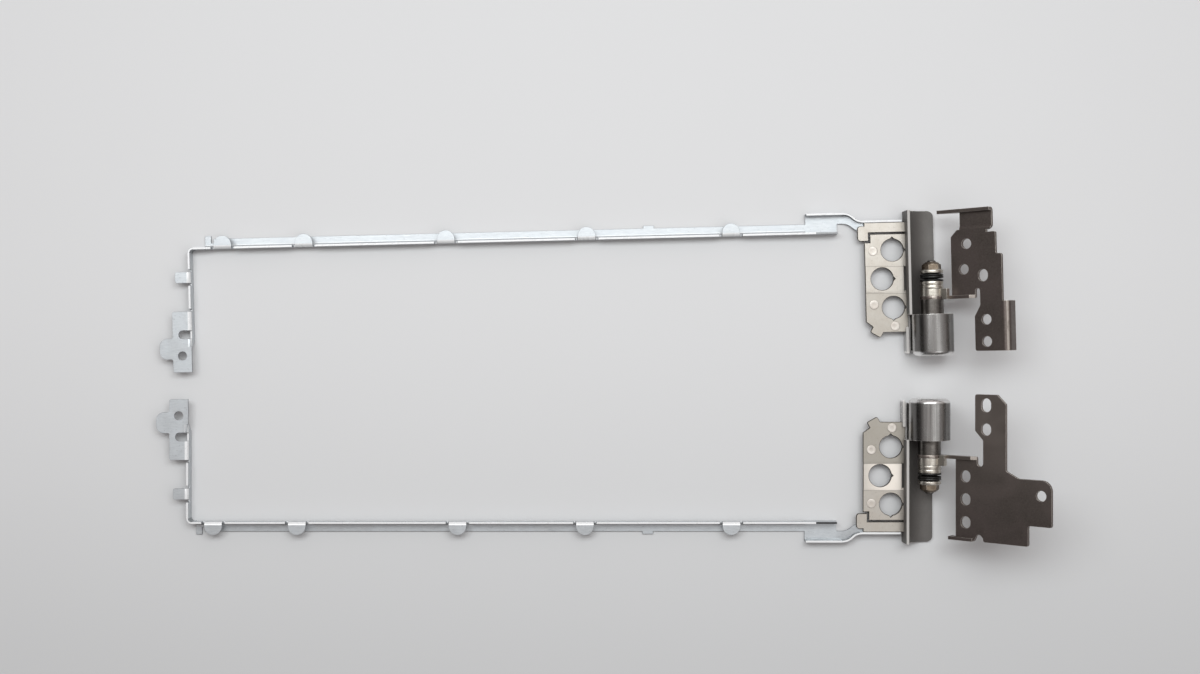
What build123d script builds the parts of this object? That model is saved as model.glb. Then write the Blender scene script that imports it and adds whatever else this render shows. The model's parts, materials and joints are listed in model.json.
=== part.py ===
from build123d import *
from math import sqrt
import os

# A pair of laptop screen hinges, in millimetres. Each hinge is drawn right-handed in its own frame:
# X runs along the screen rail towards the hinge axis, Y points away from the other hinge and Z is up.
# The hinge axis is the line x = 0 at axis_height, and y = 0 is the barrel's shoulder face.
# The base bracket is drawn lying flat, with its origin on the hinge axis, and then turned on the shaft.

# The pair as it lies
open_angle = 138.0
pair_spacing = 37.2
left_setback = 0.9
right_lay_angle = 1.4
left_lay_angle = 0.0

# Hinge axis and fits
axis_height = 6.7
running_gap = 0.05
shaft_clearance = 0.03
seat_clearance = 0.02
swing_clearance = 0.5

# Screen rail: folded strip along one side of the screen
rail_sheet = 0.6
rail_bend = 1.1
rail_reach = 220.4
rail_wall_y = 24.6
rail_height = 3.8
rail_flange = 3.2
rail_wall_end = 26.8
tab_width = 5.3
tab_reach = 3.9
tab_relief_width = 0.8
tab_relief_depth = 1.7
right_tab_offsets = [10.4, 34.6, 76.9, 118.8, 161.8]
left_tab_offsets = [8.0, 32.9, 80.7, 118.6, 162.2]
flange_lead = 5.9
prong_width = 1.8
prong_reach = 0.9
prong_gap = 0.7
prong_gap_depth = 1.3
nib_offset = 137.4
nib_width = 3.2
nib_reach = 0.8
corner_bend = 1.3
fold_bend = 0.7
fold_overlap = 0.2
pick_width = 0.02

# Arm at the rail's far end, with its folded tabs
arm_end_y = -4.4
arm_end_slope = 2.0
arm_end_step = 1.2
arm_tab_y = 16.3
arm_tab_width = 3.3
arm_tab_reach = 3.9
end_plate_outer_y = 6.2
end_plate_inner_y = -11.9
end_plate_reach = 5.0
end_slot_y = -0.7
end_slot_width = 2.5
end_slot_depth = 3.2
lobe_y = -4.9
lobe_width = 6.2
lobe_reach = 8.9
lobe_corner = 2.2
fold_corner = 0.6
arm_hole_y = -7.0
arm_hole_inset = 2.2
arm_hole_diameter = 2.6

# Wide end of the rail and the tongue that runs under the lid plate's finger
wide_start = 36.1
wide_end = 26.6
wide_setback = 0.1
edge_height = 3.4
jog_start = 25.2
jog_end = 19.2
tongue_width = 3.1
tongue_end = 7.7

# Lid plate
plate_sheet = 1.0
plate_bottom = 2.0
plate_left = 18.9
plate_inner_y = -5.1
plate_outer_y = 27.7
plate_corner_y = -1.9
plate_ear_angle = -30.0
plate_ear_x = -15.5
plate_ear_y = -4.5
plate_ear_width = 3.5
plate_ear_length = 3.0
plate_ear_corner = 0.5
plate_corner_x = -17.1
plate_corner_cut_y = -3.2
finger_width = 3.0
slit_width = 0.5
hook_left = 20.9
hook_right = 17.7
hook_inner_y = 22.2
hook_outer_y = 26.7
hook_corner = 0.9
boss_hole_diameter = 6.7
boss_hole_x = -10.7
boss_hole_offset = 3.2
boss_hole_inner_y = 2.3
boss_hole_pitch = 8.55
boss_notch = 0.75
zone_rise = 0.2
zone_inner_y = 6.9
zone_outer_y = 14.9
zone_window = 0.5

# Rivets that hold the lid plate on the cover's foot
rivet_diameter = 1.8
rivet_head_diameter = 2.8
rivet_foot_height = 0.4
rivet_left_x = -16.45
rivet_outer_y = 19.2
rivet_inner_y = 3.2
rivet_corner_x = -10.3
rivet_corner_y = -3.3

# Barrel cover: one casting
trough_radius = 5.95
trough_wall = 0.9
trough_length = 30.9
trough_edge_x = 2.1
trough_corner = 1.8
wall_rise = 0.2
wall_round = 0.12
barrel_radius = 6.0
barrel_length = 12.3
barrel_round = 1.5
bore_depth = 9.2
foot_thickness = 1.4
foot_left = 18.2
foot_outer_y = 21.4
foot_margin = 0.7
groove_depth = 0.5
lip_width = 0.9
lip_height = 4.0
lip_start_y = -3.6
lip_end_y = -11.6
web_height = 3.0

# Shaft and the friction stack on it
neck_diameter = 6.6
neck_length = 4.2
stem_diameter = 3.2
stem_flats = 2.4
thread_diameter = 2.5
thread_projection = 0.5
washer_diameter = 6.6
tab_washer_thickness = 2.1
lug_reach = 5.3
lug_root = 3.6
lug_height = 0.9
friction_ring_thickness = 2.2
friction_groove = 0.25
spring_diameter = 6.8
spring_thickness = 0.5
spring_cone = 0.27
spring_count = 3
end_washer_thickness = 1.2
end_washer_chamfer = 0.24
nut_thickness = 2.2
nut_flats = 5.0
nut_shoulder = 1.3
nut_face_diameter = 3.5

# Base brackets: shared sizes
bracket_sheet = 1.0
bracket_drop = 2.0
bracket_bend = 1.2
bracket_corner = 0.6
eye_radius = 3.5
ear_round = 0.8
screw_hole = 3.0
slot_hole = 3.5
long_slot_hole = 4.0
relief_end_y = 7.1

# Right base bracket
right_column_x = 5.4
right_column_width = 7.5
right_relief_width = 1.4
right_column_end_y = 24.4
right_column_chamfer = 2.0
right_strip_x = 8.2
right_strip_width = 10.1
right_strip_root = 8.5
right_strip_run = 5.5
right_strip_lead = 0.2
right_strip_step = 0.6
right_strip_fall = 0.35
right_strip_bend = 0.6
right_strip_corner = 1.2
right_arm_x = 1.7
right_arm_root = 3.4
right_arm_tip = 0.85
right_top_x = 19.5
right_top_y = 23.3
right_notch_width = 0.7
right_step_y = 16.9
right_edge_x = 21.3
right_leg_x = 12.5
right_leg_end_y = -11.1
right_leg_shoulder_y = -1.0
right_leg_shoulder = 3.1
right_fold_x = 22.6
right_fold_outer_y = 3.3
right_fold_depth = 4.4
right_hole_a = (10.4, 20.2)
right_hole_b = (9.4, 12.8)
right_hole_c = (15.4, 10.8)
right_leg_hole_x = 16.2
right_leg_hole_y = -5.2
right_leg_hole_pitch = 6.4

# Left base bracket
left_column_x = 7.4
left_column_width = 6.8
left_relief_width = 1.9
left_column_end_y = 27.9
left_flange_x = 5.6
left_notch_depth = 1.0
left_plate_end_y = 28.9
left_plate_edge_x = 29.9
left_wing_x = 36.9
left_wing_inner_y = 9.9
left_wing_outer_y = 23.0
left_wing_corner = 3.0
left_wing_slope = 1.9
left_wing_run = 3.8
left_arm_edge_x = 23.2
left_arm_x = 13.6
left_arm_end_y = -13.8
left_arm_shoulder_y = -3.2
left_arm_shoulder = 2.7
left_arm_chamfer = 2.7
left_column_hole_x = 10.6
left_column_hole_y = 16.9
left_column_hole_pitch = 6.7
left_arm_hole_x = 17.1
left_arm_hole_y = -7.2
left_arm_hole_pitch = 7.0
left_wing_hole = (33.8, 14.3)

# Places that follow from the sizes above
wall_outer = trough_radius + trough_wall
wall_top = axis_height + wall_rise
plate_top = plate_bottom + plate_sheet
plate_right = wall_outer - groove_depth
finger_inner_y = plate_outer_y - finger_width
rail_outer_y = rail_wall_y + rail_flange
wide_outer_y = trough_length - wide_setback
fold_line = rail_height - rail_sheet / 2
fold_depth = fold_bend + rail_sheet / 2
tongue_rise = plate_bottom - rail_sheet
tongue_outer_y = plate_outer_y + rail_sheet + seat_clearance
boss_holes = [
    (boss_hole_x, boss_hole_inner_y + 2 * boss_hole_pitch),
    (boss_hole_x - boss_hole_offset, boss_hole_inner_y + boss_hole_pitch),
    (boss_hole_x, boss_hole_inner_y),
]
rivet_places = [
    (rivet_left_x, rivet_outer_y),
    (rivet_left_x, rivet_inner_y),
    (rivet_corner_x, rivet_corner_y),
]
ear_y = neck_length + running_gap
tab_washer_y = ear_y + bracket_sheet
friction_ring_y = tab_washer_y + tab_washer_thickness + running_gap
springs_y = friction_ring_y + friction_ring_thickness
spring_pitch = spring_thickness + spring_cone
end_washer_y = springs_y + spring_count * spring_pitch
nut_y = end_washer_y + end_washer_thickness
shaft_end_y = nut_y + nut_thickness + thread_projection
stem_radius = stem_diameter / 2
ear_top = -wall_rise - swing_clearance
bracket_bottom = -bracket_drop - bracket_sheet
bracket_middle = -bracket_drop - bracket_sheet / 2
shaft_line = Axis((0, 0, axis_height), (0, 1, 0))


def across_shaft(y, height=axis_height):
    return Plane(origin=(0, y, height), x_dir=(1, 0, 0), z_dir=(0, 1, 0))


def block(x_range, y_range, z_range, mode=Mode.ADD):
    size = [high - low for low, high in (x_range, y_range, z_range)]
    with Locations((x_range[0], y_range[0], z_range[0])):
        Box(*size, align=Align.MIN, mode=mode)


# A jog between two parallel straight runs, as two equal tangent arcs
def jogged_line(start, jog_from, jog_to, end):
    first = Line(start, jog_from)
    middle = ((jog_from[0] + jog_to[0]) / 2, (jog_from[1] + jog_to[1]) / 2)
    turn = TangentArc(jog_from, middle, tangent=first % 1)
    TangentArc(middle, jog_to, tangent=turn % 1)
    Line(jog_to, end)


# The strip's side view: flat on the table at the wide end, one sheet higher under the finger
def tongue_side(height_above):
    ramp_start = -wide_end
    ramp_end = -jog_end
    return [
        (-wide_start, height_above),
        (ramp_start, height_above),
        (ramp_end, tongue_rise + height_above),
        (-tongue_end, tongue_rise + height_above),
    ]


def rail_tongue():
    edge_y = wide_outer_y - rail_sheet / 2
    edge_end_y = tongue_outer_y - rail_sheet / 2
    neck_inner_y = wide_outer_y - tongue_width
    tongue_inner_y = tongue_outer_y - tongue_width
    with BuildPart() as strip:
        with BuildSketch(Plane.XZ.offset(-wide_outer_y)):
            with BuildLine():
                Polyline(*tongue_side(0), *reversed(tongue_side(rail_sheet)), close=True)
            make_face()
        extrude(amount=wide_outer_y - rail_wall_y)
        with BuildSketch():
            with BuildLine():
                jogged_line(
                    (-wide_start, wide_outer_y),
                    (-jog_start, wide_outer_y),
                    (-jog_end, tongue_outer_y),
                    (-tongue_end, tongue_outer_y),
                )
                Line((-tongue_end, tongue_outer_y), (-tongue_end, tongue_inner_y))
                jogged_line(
                    (-tongue_end, tongue_inner_y),
                    (-jog_end, tongue_inner_y),
                    (-jog_start, neck_inner_y),
                    (-wide_end, neck_inner_y),
                )
                Polyline(
                    (-wide_end, neck_inner_y),
                    (-wide_end, rail_wall_y),
                    (-wide_start, rail_wall_y),
                    (-wide_start, wide_outer_y),
                )
            make_face()
        extrude(amount=edge_height, mode=Mode.INTERSECT)
    with BuildPart() as edge:
        with BuildSketch(Plane.XZ.offset(-wide_outer_y)):
            with BuildLine():
                Polyline(*tongue_side(0), (-tongue_end, edge_height), (-wide_start, edge_height), close=True)
            make_face()
        extrude(amount=wide_outer_y - rail_wall_y)
        with BuildSketch():
            with BuildLine():
                jogged_line(
                    (-wide_start, edge_y),
                    (-jog_start, edge_y),
                    (-jog_end, edge_end_y),
                    (-tongue_end, edge_end_y),
                )
            trace(line_width=rail_sheet)
        extrude(amount=edge_height, mode=Mode.INTERSECT)
    return strip.part, edge.part


# Quarter bend that turns an upright sheet outwards into a flat, drawn with X outwards and Y up
def outward_bend(start, outwards, along, length):
    with BuildSketch(Plane(origin=start, x_dir=outwards, z_dir=along)) as bend:
        with BuildLine():
            FilletPolyline(
                (fold_bend + fold_overlap, fold_line),
                (0, fold_line),
                (0, fold_line - fold_bend - fold_overlap),
                radius=fold_bend,
            )
        trace(line_width=rail_sheet)
    extrude(bend.sketch, amount=length)


def screen_rail(tab_offsets):
    strip, edge = rail_tongue()
    stations = [offset - rail_reach for offset in tab_offsets]
    flange_start = stations[0] - flange_lead
    nib_x = nib_offset - rail_reach
    wall_middle = rail_wall_y + rail_sheet / 2
    arm_middle = -rail_reach + rail_sheet / 2
    arm_inner = -rail_reach + rail_sheet
    fold_level = rail_height - rail_sheet
    fold_x = arm_middle - fold_bend
    fold_y = wall_middle + fold_bend
    fold_heights = (rail_height - fold_depth, rail_height)
    tab_round_y = rail_wall_y + tab_reach - tab_width / 2
    notch_step = (tab_width + tab_relief_width) / 2
    notches = [(x + side * notch_step, rail_height) for x in stations for side in (-1, 1)]
    arm_folds = [
        (arm_tab_y - arm_tab_width / 2, arm_tab_y + arm_tab_width / 2),
        (arm_end_y, end_plate_outer_y),
    ]
    arm_notch_step = (arm_tab_width + tab_relief_width) / 2
    arm_notches = [
        (arm_tab_y - arm_notch_step, rail_height),
        (arm_tab_y + arm_notch_step, rail_height),
        (end_plate_outer_y + tab_relief_width / 2, rail_height),
    ]
    with BuildPart() as rail:
        # Flange on the table and the wall folded up from its inner edge
        with BuildSketch(Plane.YZ.offset(flange_start)):
            with BuildLine():
                FilletPolyline(
                    (rail_outer_y, rail_sheet / 2),
                    (wall_middle, rail_sheet / 2),
                    (wall_middle, rail_height),
                    radius=rail_bend,
                )
            trace(line_width=rail_sheet)
        extrude(amount=-wide_start - flange_start)
        block(
            (-wide_start, -rail_wall_end),
            (rail_wall_y, rail_wall_y + rail_sheet),
            (0, rail_height),
        )
        # Wall bent round the far corner into the arm, which has a sloped tip
        with BuildSketch():
            with BuildLine():
                FilletPolyline(
                    (flange_start, wall_middle),
                    (arm_middle, wall_middle),
                    (arm_middle, arm_end_y),
                    radius=corner_bend,
                )
            trace(line_width=rail_sheet)
        extrude(amount=rail_height)
        with BuildSketch(Plane.YZ.offset(-rail_reach)):
            with BuildLine():
                Polyline(
                    (arm_end_y, 0),
                    (arm_end_y + arm_end_slope, 0),
                    (arm_end_y, rail_height - arm_end_step),
                    close=True,
                )
            make_face()
        extrude(amount=rail_sheet, mode=Mode.SUBTRACT)
        # Relief notches beside the folds
        with BuildSketch(Plane.XZ.offset(-rail_wall_y)):
            with Locations(*notches):
                SlotOverall(2 * tab_relief_depth, tab_relief_width, rotation=90)
        extrude(amount=-rail_sheet, mode=Mode.SUBTRACT)
        with BuildSketch(Plane.YZ.offset(-rail_reach)):
            with Locations(*arm_notches):
                SlotOverall(2 * tab_relief_depth, tab_relief_width, rotation=90)
        extrude(amount=rail_sheet, mode=Mode.SUBTRACT)
        # Bends that turn the wall and the arm out into their tabs and the end plate
        for x in stations:
            tab_start = x - tab_width / 2
            block(
                (tab_start, tab_start + tab_width),
                (rail_wall_y, rail_wall_y + rail_sheet),
                fold_heights,
                mode=Mode.SUBTRACT,
            )
            outward_bend((tab_start, wall_middle, 0), (0, 1, 0), (1, 0, 0), tab_width)
        for low, high in arm_folds:
            block((-rail_reach, arm_inner), (low, high), fold_heights, mode=Mode.SUBTRACT)
            outward_bend((arm_middle, low, 0), (-1, 0, 0), (0, 1, 0), high - low)
        # Prong at the flange's start, and a nib on its outer edge
        block(
            (flange_start, flange_start + prong_width),
            (wall_middle, rail_outer_y + prong_reach),
            (0, rail_sheet),
        )
        block(
            (flange_start + prong_width, flange_start + prong_width + prong_gap),
            (rail_outer_y - prong_gap_depth, rail_outer_y),
            (0, rail_sheet),
            mode=Mode.SUBTRACT,
        )
        block(
            (nib_x - nib_width / 2, nib_x + nib_width / 2),
            (rail_outer_y - rail_sheet, rail_outer_y + nib_reach),
            (0, rail_sheet),
        )
        # Round-ended tabs folded outwards from the wall
        with BuildSketch(Plane.XY.offset(fold_level)):
            with Locations(*[(x, wall_middle) for x in stations]):
                Rectangle(tab_width, tab_round_y - wall_middle, align=(Align.CENTER, Align.MIN))
            with Locations(*[(x, tab_round_y) for x in stations]):
                Circle(tab_width / 2)
            with Locations(*[(x, fold_y) for x in stations]):
                Rectangle(tab_width * 2, tab_width, align=(Align.CENTER, Align.MAX), mode=Mode.SUBTRACT)
        extrude(amount=rail_sheet)
        # Tab and end plate folded outwards from the arm's top edge
        arm_tab_end = -rail_reach - arm_tab_reach
        end_plate_end = -rail_reach - end_plate_reach
        with BuildSketch(Plane.XY.offset(fold_level)) as folds:
            with Locations((fold_x, arm_tab_y)):
                Rectangle(fold_x - arm_tab_end, arm_tab_width, align=(Align.MAX, Align.CENTER))
            with Locations((fold_x, end_plate_inner_y)):
                Rectangle(
                    fold_x - end_plate_end,
                    end_plate_outer_y - end_plate_inner_y,
                    align=(Align.MAX, Align.MIN),
                )
            with Locations((arm_inner, end_plate_inner_y)):
                Rectangle(
                    arm_inner - end_plate_end,
                    arm_end_y - end_plate_inner_y,
                    align=(Align.MAX, Align.MIN),
                )
            lobe_end = -rail_reach - lobe_reach
            with Locations(((lobe_end + fold_x) / 2, lobe_y)):
                RectangleRounded(fold_x - lobe_end, lobe_width, lobe_corner)
            outer_corners = folds.vertices().filter_by_position(
                Axis.X,
                end_plate_end - pick_width,
                arm_tab_end + pick_width,
            )
            fillet(outer_corners, fold_corner)
            slot_round_x = -rail_reach - end_slot_depth + end_slot_width / 2
            with Locations((fold_x, end_slot_y)):
                Rectangle(
                    fold_x - slot_round_x,
                    end_slot_width,
                    align=(Align.MAX, Align.CENTER),
                    mode=Mode.SUBTRACT,
                )
            with Locations((slot_round_x, end_slot_y)):
                Circle(end_slot_width / 2, mode=Mode.SUBTRACT)
            with Locations((-rail_reach - arm_hole_inset, arm_hole_y)):
                Circle(arm_hole_diameter / 2, mode=Mode.SUBTRACT)
        extrude(amount=rail_sheet)
        block(
            (fold_x - fold_overlap, arm_inner),
            (end_slot_y - end_slot_width / 2, end_slot_y + end_slot_width / 2),
            fold_heights,
            mode=Mode.SUBTRACT,
        )
        add(strip)
        add(edge)
    return rail.part


def lid_plate():
    slit_middle_y = finger_inner_y - slit_width / 2
    slit_x = -hook_right + slit_width / 2
    with BuildPart() as plate:
        with BuildSketch(Plane.XY.offset(plate_bottom)):
            with BuildLine():
                Polyline(
                    (-plate_right, plate_inner_y),
                    (-plate_right, plate_outer_y),
                    (-plate_left, plate_outer_y),
                    (-plate_left, plate_corner_y),
                    (plate_corner_x, plate_corner_cut_y),
                    (plate_ear_x, plate_inner_y),
                    close=True,
                )
            make_face()
            with Locations((plate_ear_x, plate_ear_y)):
                RectangleRounded(
                    plate_ear_width,
                    plate_ear_length,
                    plate_ear_corner,
                    rotation=plate_ear_angle,
                )
            with Locations(((-hook_left - hook_right) / 2, (hook_inner_y + hook_outer_y) / 2)):
                RectangleRounded(hook_left - hook_right, hook_outer_y - hook_inner_y, hook_corner)
        extrude(amount=plate_sheet)
        # L-shaped slit that frees the finger and its hook from the plate
        with BuildSketch(Plane.XY.offset(plate_bottom)):
            with BuildLine():
                Polyline(
                    (-wall_outer, slit_middle_y),
                    (slit_x, slit_middle_y),
                    (slit_x, hook_inner_y - slit_width / 2),
                    (-hook_left, hook_inner_y - slit_width / 2),
                )
            trace(line_width=slit_width)
        extrude(amount=plate_sheet, mode=Mode.SUBTRACT)
        # Middle zone, pressed up by a fraction of the sheet and cut clear of the cover's wall
        zone_x = (-plate_left, -wall_outer - zone_window)
        zone_y = (zone_inner_y, zone_outer_y)
        block(zone_x, zone_y, (plate_top, plate_top + zone_rise))
        block(zone_x, zone_y, (plate_bottom, plate_bottom + zone_rise), mode=Mode.SUBTRACT)
        block(
            (-wall_outer - zone_window, -plate_right),
            (zone_inner_y + zone_window, zone_outer_y - zone_window),
            (plate_bottom, plate_top),
            mode=Mode.SUBTRACT,
        )
        # Boss holes with small V-notches in their rims
        with BuildSketch(Plane.XY.offset(plate_bottom)):
            with Locations(*boss_holes):
                Circle(boss_hole_diameter / 2)
            rim = boss_hole_diameter / 2
            (outer_x, outer_y), (middle_x, middle_y), (inner_x, inner_y) = boss_holes
            with Locations(
                (outer_x + rim, outer_y),
                (outer_x, outer_y + rim),
                (middle_x + rim, middle_y),
                (inner_x + rim, inner_y),
                (inner_x, inner_y - rim),
            ):
                Rectangle(boss_notch, boss_notch, rotation=45)
        extrude(amount=plate_sheet + zone_rise, mode=Mode.SUBTRACT)
        with Locations(Plane.XY.offset(plate_top)):
            with Locations(*rivet_places):
                CounterSinkHole(
                    rivet_diameter / 2 + seat_clearance,
                    rivet_head_diameter / 2 + seat_clearance,
                    counter_sink_angle=90,
                )
    return plate.part


def plate_rivets():
    foot_bottom = plate_bottom - foot_thickness
    sink = (rivet_head_diameter - rivet_diameter) / 2
    with BuildPart() as rivets:
        for place in rivet_places:
            with BuildSketch(Plane(origin=(*place, 0), x_dir=(1, 0, 0), z_dir=(0, -1, 0))):
                with BuildLine():
                    Polyline(
                        (0, foot_bottom - rivet_foot_height),
                        (rivet_head_diameter / 2, foot_bottom - rivet_foot_height),
                        (rivet_head_diameter / 2, foot_bottom),
                        (rivet_diameter / 2, foot_bottom),
                        (rivet_diameter / 2, plate_top - sink),
                        (rivet_head_diameter / 2, plate_top),
                        (0, plate_top),
                        close=True,
                    )
                make_face()
            revolve(axis=Axis((*place, 0), (0, 0, 1)))
    return rivets.part


def barrel_cover():
    foot_bottom = plate_bottom - foot_thickness
    bed_depth = sqrt(trough_radius**2 - trough_edge_x**2)
    with BuildPart() as cover:
        # Trough: upright wall on the lid side and a bed hollowed round the hinge axis
        with BuildSketch(Plane.XZ):
            with BuildLine():
                Polyline(
                    (trough_edge_x, axis_height - bed_depth),
                    (trough_edge_x, 0),
                    (-wall_outer, 0),
                    (-wall_outer, wall_top),
                    (-trough_radius, wall_top),
                    (-trough_radius, axis_height),
                )
                RadiusArc(
                    (-trough_radius, axis_height),
                    (trough_edge_x, axis_height - bed_depth),
                    -trough_radius,
                )
            make_face()
        extrude(amount=-trough_length)
        bed_corner = cover.edges().filter_by(Axis.Z).group_by(Axis.X)[-1].sort_by(Axis.Y)[-1]
        fillet(bed_corner, trough_corner)
        fillet(cover.edges().filter_by(Axis.Y).group_by(Axis.Z)[-1], wall_round)
        # Barrel with a closed, rounded end, on a web and an upright lip
        with BuildSketch(across_shaft(0)):
            Circle(barrel_radius)
        extrude(amount=-barrel_length)
        fillet(cover.edges().filter_by(GeomType.CIRCLE).group_by(Axis.Y)[0], barrel_round)
        block((-wall_outer, 0), (lip_end_y + lip_width, 0), (0, web_height))
        with BuildSketch():
            with Locations((-wall_outer, (lip_start_y + lip_end_y) / 2)):
                SlotOverall(lip_start_y - lip_end_y, lip_width, rotation=90)
        extrude(amount=lip_height)
        with BuildSketch(across_shaft(0)):
            Circle(neck_diameter / 2 + seat_clearance)
        extrude(amount=-bore_depth, mode=Mode.SUBTRACT)
        # Foot under the lid plate, open below the boss holes
        with BuildSketch(Plane.XY.offset(foot_bottom)):
            with BuildLine():
                Polyline(
                    (-wall_outer, plate_inner_y + foot_margin),
                    (-wall_outer, foot_outer_y),
                    (-foot_left, foot_outer_y),
                    (-foot_left, plate_corner_y + foot_margin),
                    (plate_corner_x + foot_margin, plate_corner_cut_y + foot_margin),
                    (plate_ear_x + foot_margin, plate_inner_y + foot_margin),
                    close=True,
                )
            make_face()
            with Locations(*boss_holes):
                Circle(boss_hole_diameter / 2 + foot_margin / 2, mode=Mode.SUBTRACT)
            with Locations(*rivet_places):
                Circle(rivet_diameter / 2 + seat_clearance, mode=Mode.SUBTRACT)
        extrude(amount=foot_thickness)
        # Groove in the wall that holds the lid plate's edge
        block(
            (-wall_outer - groove_depth, -plate_right + seat_clearance),
            (plate_inner_y - seat_clearance, plate_outer_y + seat_clearance),
            (plate_bottom, plate_top + seat_clearance),
            mode=Mode.SUBTRACT,
        )
    return cover.part


def hinge_shaft():
    with BuildPart() as shaft:
        with BuildSketch(Plane.XY.offset(axis_height)):
            with BuildLine():
                Polyline(
                    (0, -bore_depth + seat_clearance),
                    (neck_diameter / 2, -bore_depth + seat_clearance),
                    (neck_diameter / 2, neck_length),
                    (stem_radius, neck_length),
                    (stem_radius, nut_y),
                    (thread_diameter / 2, nut_y),
                    (thread_diameter / 2, shaft_end_y - thread_projection / 2),
                    (thread_diameter / 2 - thread_projection / 2, shaft_end_y),
                    (0, shaft_end_y),
                    close=True,
                )
            make_face()
        revolve(axis=shaft_line)
        for side in (-1, 1):
            flat_z = axis_height + side * stem_flats / 2
            block(
                (-stem_radius, stem_radius),
                (friction_ring_y - running_gap, nut_y),
                (min(flat_z, flat_z + side * stem_radius), max(flat_z, flat_z + side * stem_radius)),
                mode=Mode.SUBTRACT,
            )
    return shaft.part


# A hole that fits the stem's two flats, cut through a piece from y over a length
def keyed_hole(y, length):
    with BuildSketch(across_shaft(y)) as keyhole:
        Circle(stem_radius + seat_clearance)
        Rectangle(stem_diameter * 2, stem_flats + 2 * seat_clearance, mode=Mode.INTERSECT)
    extrude(keyhole.sketch, amount=length, mode=Mode.SUBTRACT)


def friction_ring():
    radius = washer_diameter / 2
    groove_y = friction_ring_y + friction_ring_thickness / 2
    with BuildPart() as ring:
        with BuildSketch(across_shaft(friction_ring_y)):
            Circle(radius)
        extrude(amount=friction_ring_thickness)
        with BuildSketch(across_shaft(groove_y - friction_groove / 2)):
            Circle(radius)
            Circle(radius - friction_groove, mode=Mode.SUBTRACT)
        extrude(amount=friction_groove, mode=Mode.SUBTRACT)
        keyed_hole(friction_ring_y, friction_ring_thickness)
    return ring.part


# Coned spring washers, stacked so that every second one faces the other way
def disc_springs():
    inner = stem_radius + shaft_clearance
    outer = spring_diameter / 2
    with BuildPart() as springs:
        for turn in range(spring_count):
            low = springs_y + turn * spring_pitch
            inner_low = low + spring_cone if turn % 2 == 0 else low
            outer_low = low if turn % 2 == 0 else low + spring_cone
            with BuildSketch(Plane.XY.offset(axis_height)):
                with BuildLine():
                    Polyline(
                        (inner, inner_low),
                        (outer, outer_low),
                        (outer, outer_low + spring_thickness),
                        (inner, inner_low + spring_thickness),
                        close=True,
                    )
                make_face()
            revolve(axis=shaft_line)
    return springs.part


def end_washer():
    with BuildPart() as washer:
        with BuildSketch(across_shaft(end_washer_y)):
            Circle(washer_diameter / 2)
        extrude(amount=end_washer_thickness)
        chamfer(washer.edges().filter_by(GeomType.CIRCLE), end_washer_chamfer)
        keyed_hole(end_washer_y, end_washer_thickness)
    return washer.part


def lock_nut():
    corner_radius = nut_flats / sqrt(3)
    with BuildPart() as nut:
        with BuildSketch(across_shaft(nut_y)):
            RegularPolygon(corner_radius, 6)
        extrude(amount=nut_thickness)
        # Turned cone that rounds the hexagon's outer corners
        with BuildSketch(Plane.XY.offset(axis_height)):
            with BuildLine():
                Polyline(
                    (0, nut_y),
                    (corner_radius, nut_y),
                    (corner_radius, nut_y + nut_shoulder),
                    (nut_face_diameter / 2, nut_y + nut_thickness),
                    (0, nut_y + nut_thickness),
                    close=True,
                )
            make_face()
        revolve(axis=shaft_line, mode=Mode.INTERSECT)
        with BuildSketch(across_shaft(nut_y)):
            Circle(thread_diameter / 2 + seat_clearance)
        extrude(amount=nut_thickness, mode=Mode.SUBTRACT)
    return nut.part


# Washer whose lug hooks over the top of the bracket's ear, drawn in the bracket's frame
def tab_washer():
    hook_bottom = ear_top + seat_clearance
    with BuildPart() as washer:
        with BuildSketch(across_shaft(tab_washer_y, 0)):
            Circle(washer_diameter / 2)
        extrude(amount=tab_washer_thickness)
        block((0, lug_reach), (tab_washer_y, tab_washer_y + tab_washer_thickness), (hook_bottom, lug_height))
        block((lug_root, lug_reach), (ear_y, tab_washer_y), (hook_bottom, lug_height))
        with BuildSketch(across_shaft(tab_washer_y, 0)):
            Circle(stem_radius + shaft_clearance)
        extrude(amount=tab_washer_thickness, mode=Mode.SUBTRACT)
    return washer.part


# Ear folded up from the end of the bracket's column, with the eye that turns on the stem
def bracket_ear(column_x, column_width):
    column_end = column_x + column_width
    slope = bracket_drop + ear_top
    with BuildSketch(Plane.XZ.offset(-ear_y)) as ear:
        with BuildLine():
            Polyline(
                (0, bracket_bottom),
                (column_end, bracket_bottom),
                (column_end, -bracket_drop),
                (column_end - slope, ear_top),
                (0, ear_top),
                close=True,
            )
        make_face()
        Circle(eye_radius)
        Circle(stem_radius + shaft_clearance, mode=Mode.SUBTRACT)
    extrude(ear.sketch, amount=-bracket_sheet)


# Corners of a bracket's flat outline, apart from those at the ear and its relief
def outline_corners(outline):
    return outline.vertices().filter_by(
        lambda corner: corner.Y > relief_end_y + pick_width or corner.Y < ear_y - pick_width
    )


# The outer edge of the fold between the column and the ear
def ear_bend(bracket):
    folds = bracket.edges().filter_by(Axis.X)
    folds = folds.filter_by_position(Axis.Y, ear_y - pick_width, ear_y + pick_width)
    return folds.filter_by_position(Axis.Z, bracket_bottom - pick_width, bracket_bottom + pick_width)


def screw_slots(places, length):
    with BuildSketch(Plane.XY.offset(bracket_bottom)) as holes:
        with Locations(*places):
            if length > screw_hole:
                SlotOverall(length, screw_hole, rotation=90)
            else:
                Circle(screw_hole / 2)
    extrude(holes.sketch, amount=bracket_sheet, mode=Mode.SUBTRACT)


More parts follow.
